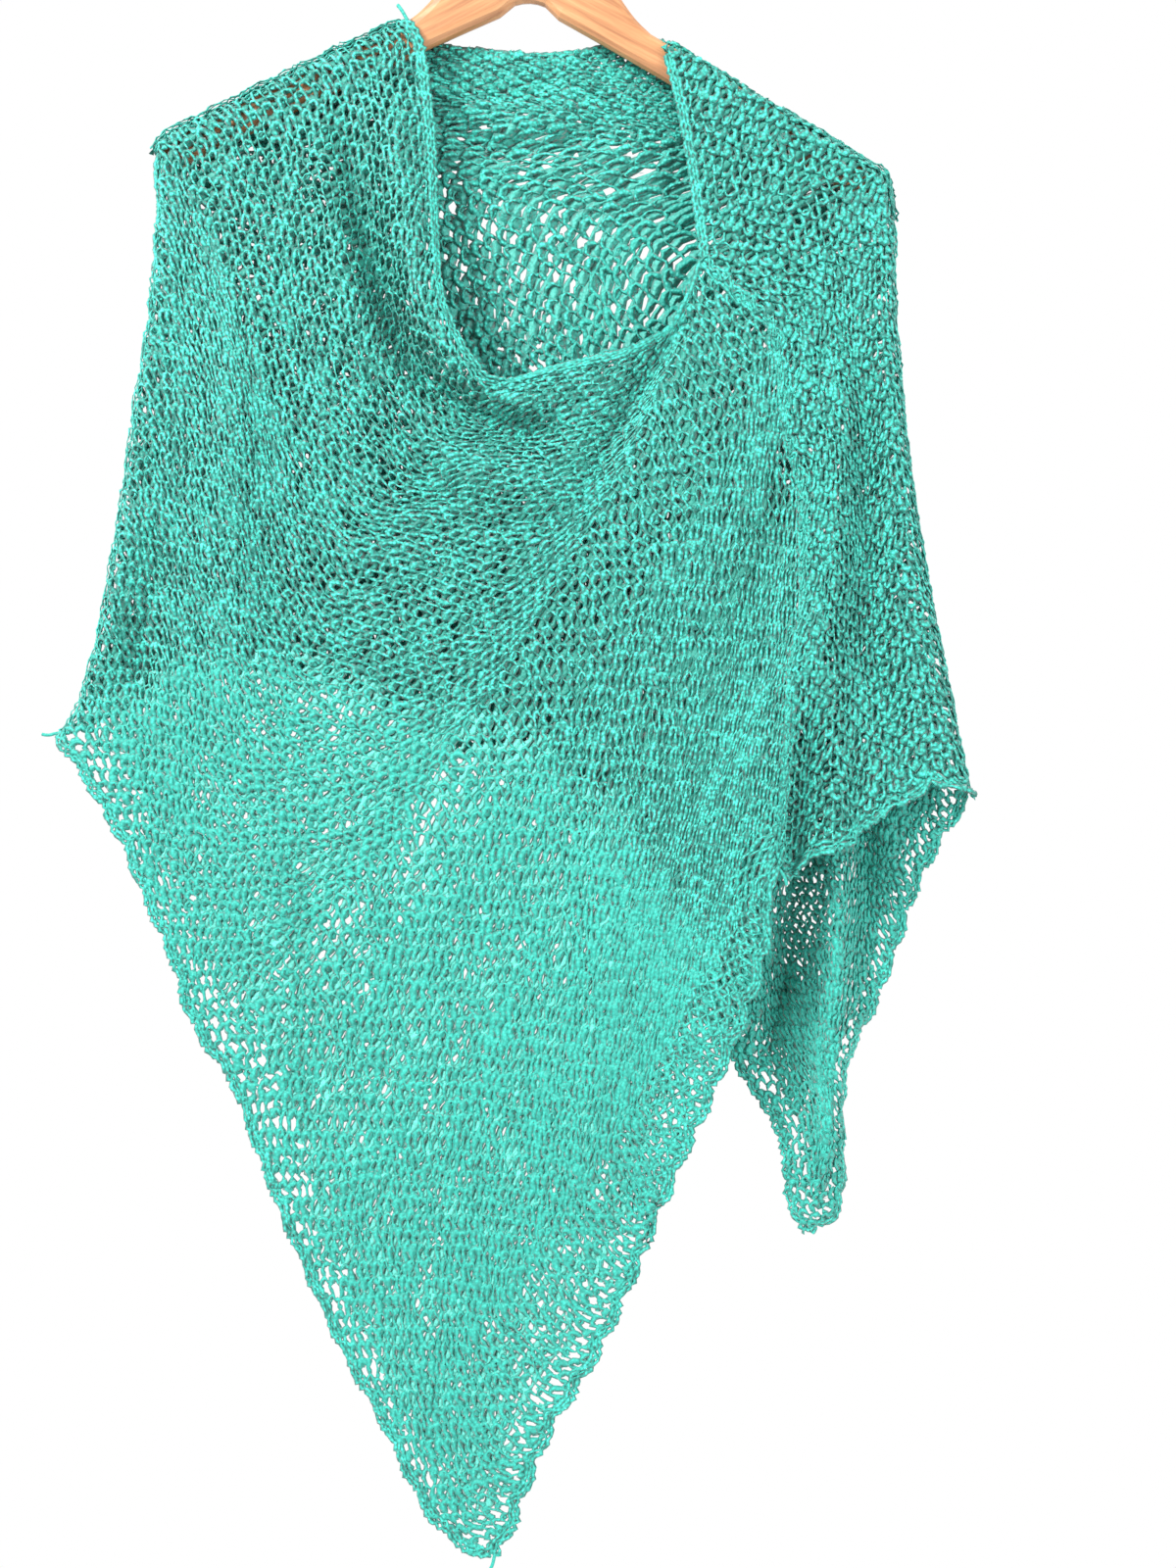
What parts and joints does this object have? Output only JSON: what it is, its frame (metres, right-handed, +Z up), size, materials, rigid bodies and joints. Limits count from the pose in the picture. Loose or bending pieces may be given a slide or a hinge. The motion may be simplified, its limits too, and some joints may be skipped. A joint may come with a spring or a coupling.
{
  "type": "openwork knitted poncho on a wooden clothes hanger",
  "caption": "Slanted openwork knitted poncho, one folded rectangle with a side seam and a cowl neck, on a plain wooden hanger with a steel hook.",
  "frame": {"origin": "where the inside of the hook's bend rests on the rail that carries it, in the middle of the wire", "axes": "+Z up, the front of the poncho faces -Y, +X to the right as seen from the front"},
  "size_m": [0.5569, 0.0572, 1.0606],
  "materials": {
    "aqua_yarn": "soft sheen, slub cotton yarn",
    "pale_wood": "satin varnish",
    "hook_steel": "polished"
  },
  "bodies": {
    "root": {"poncho_front": "aqua_yarn", "poncho_back": "aqua_yarn", "poncho_wrap": "aqua_yarn", "hanger": "pale_wood", "hook": "hook_steel"}
  },
  "joints": []
}
